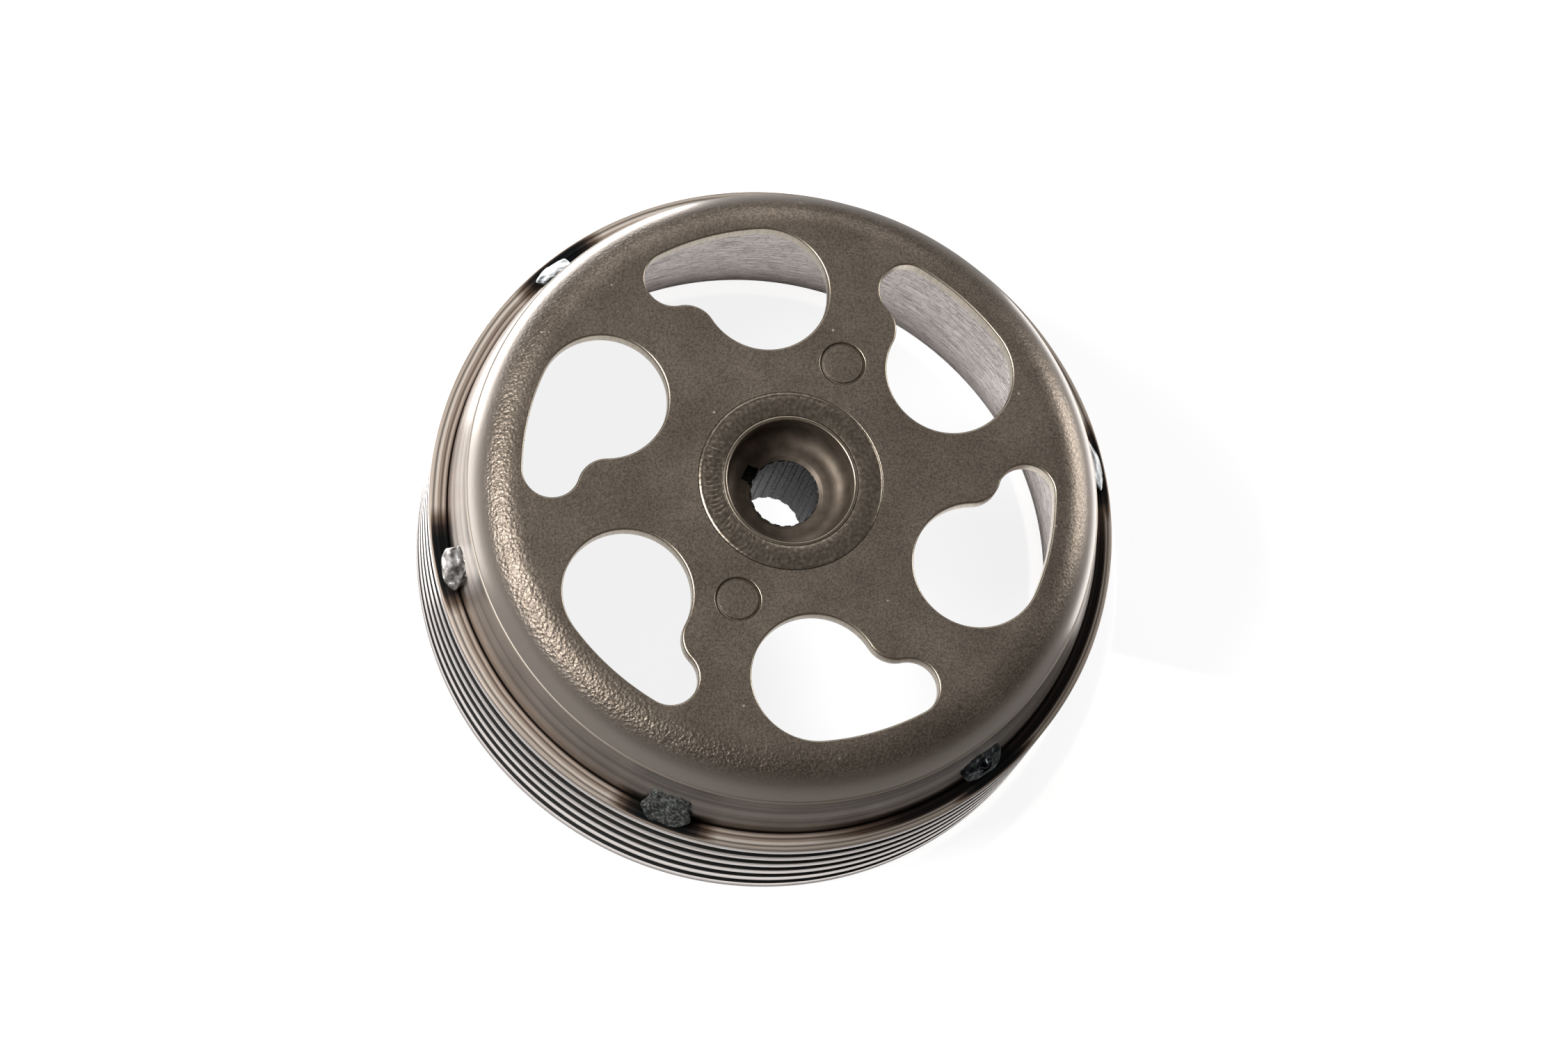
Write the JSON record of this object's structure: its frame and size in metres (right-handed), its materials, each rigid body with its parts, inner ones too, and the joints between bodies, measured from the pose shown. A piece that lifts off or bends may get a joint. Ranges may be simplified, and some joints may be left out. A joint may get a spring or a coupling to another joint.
{
  "type": "clutch bell",
  "caption": "Round steel clutch bell: a windowed cup with a welded splined hub, and a finned cooling ring tack-welded round its wall.",
  "frame": {"origin": "on the bell's axis in the plane of the open mouth, which the part stands on", "axes": "+Z along the bell's axis from the open mouth to the closed web; +Y towards the top of the web as a person facing it sees it, +X to their right"},
  "size_m": [0.1506, 0.1506, 0.06],
  "materials": {
    "pressed_steel": "raw pressed steel, satin, fine mottled grain",
    "turned_ring": "turned steel, bright fin tips, straw heat tint on the front face",
    "hub_steel": "turned steel, satin",
    "weld_bead": "glossy rippled weld metal"
  },
  "bodies": {
    "root": {"drum_shell": "pressed_steel", "cooling_ring": "turned_ring", "hub": "hub_steel", "hub_weld": "weld_bead", "locating_plug_1": "pressed_steel", "locating_plug_2": "pressed_steel", "ring_weld_1": "weld_bead", "ring_weld_2": "weld_bead", "ring_weld_3": "weld_bead", "ring_weld_4": "weld_bead", "ring_weld_5": "weld_bead", "ring_weld_6": "weld_bead"}
  },
  "joints": []
}
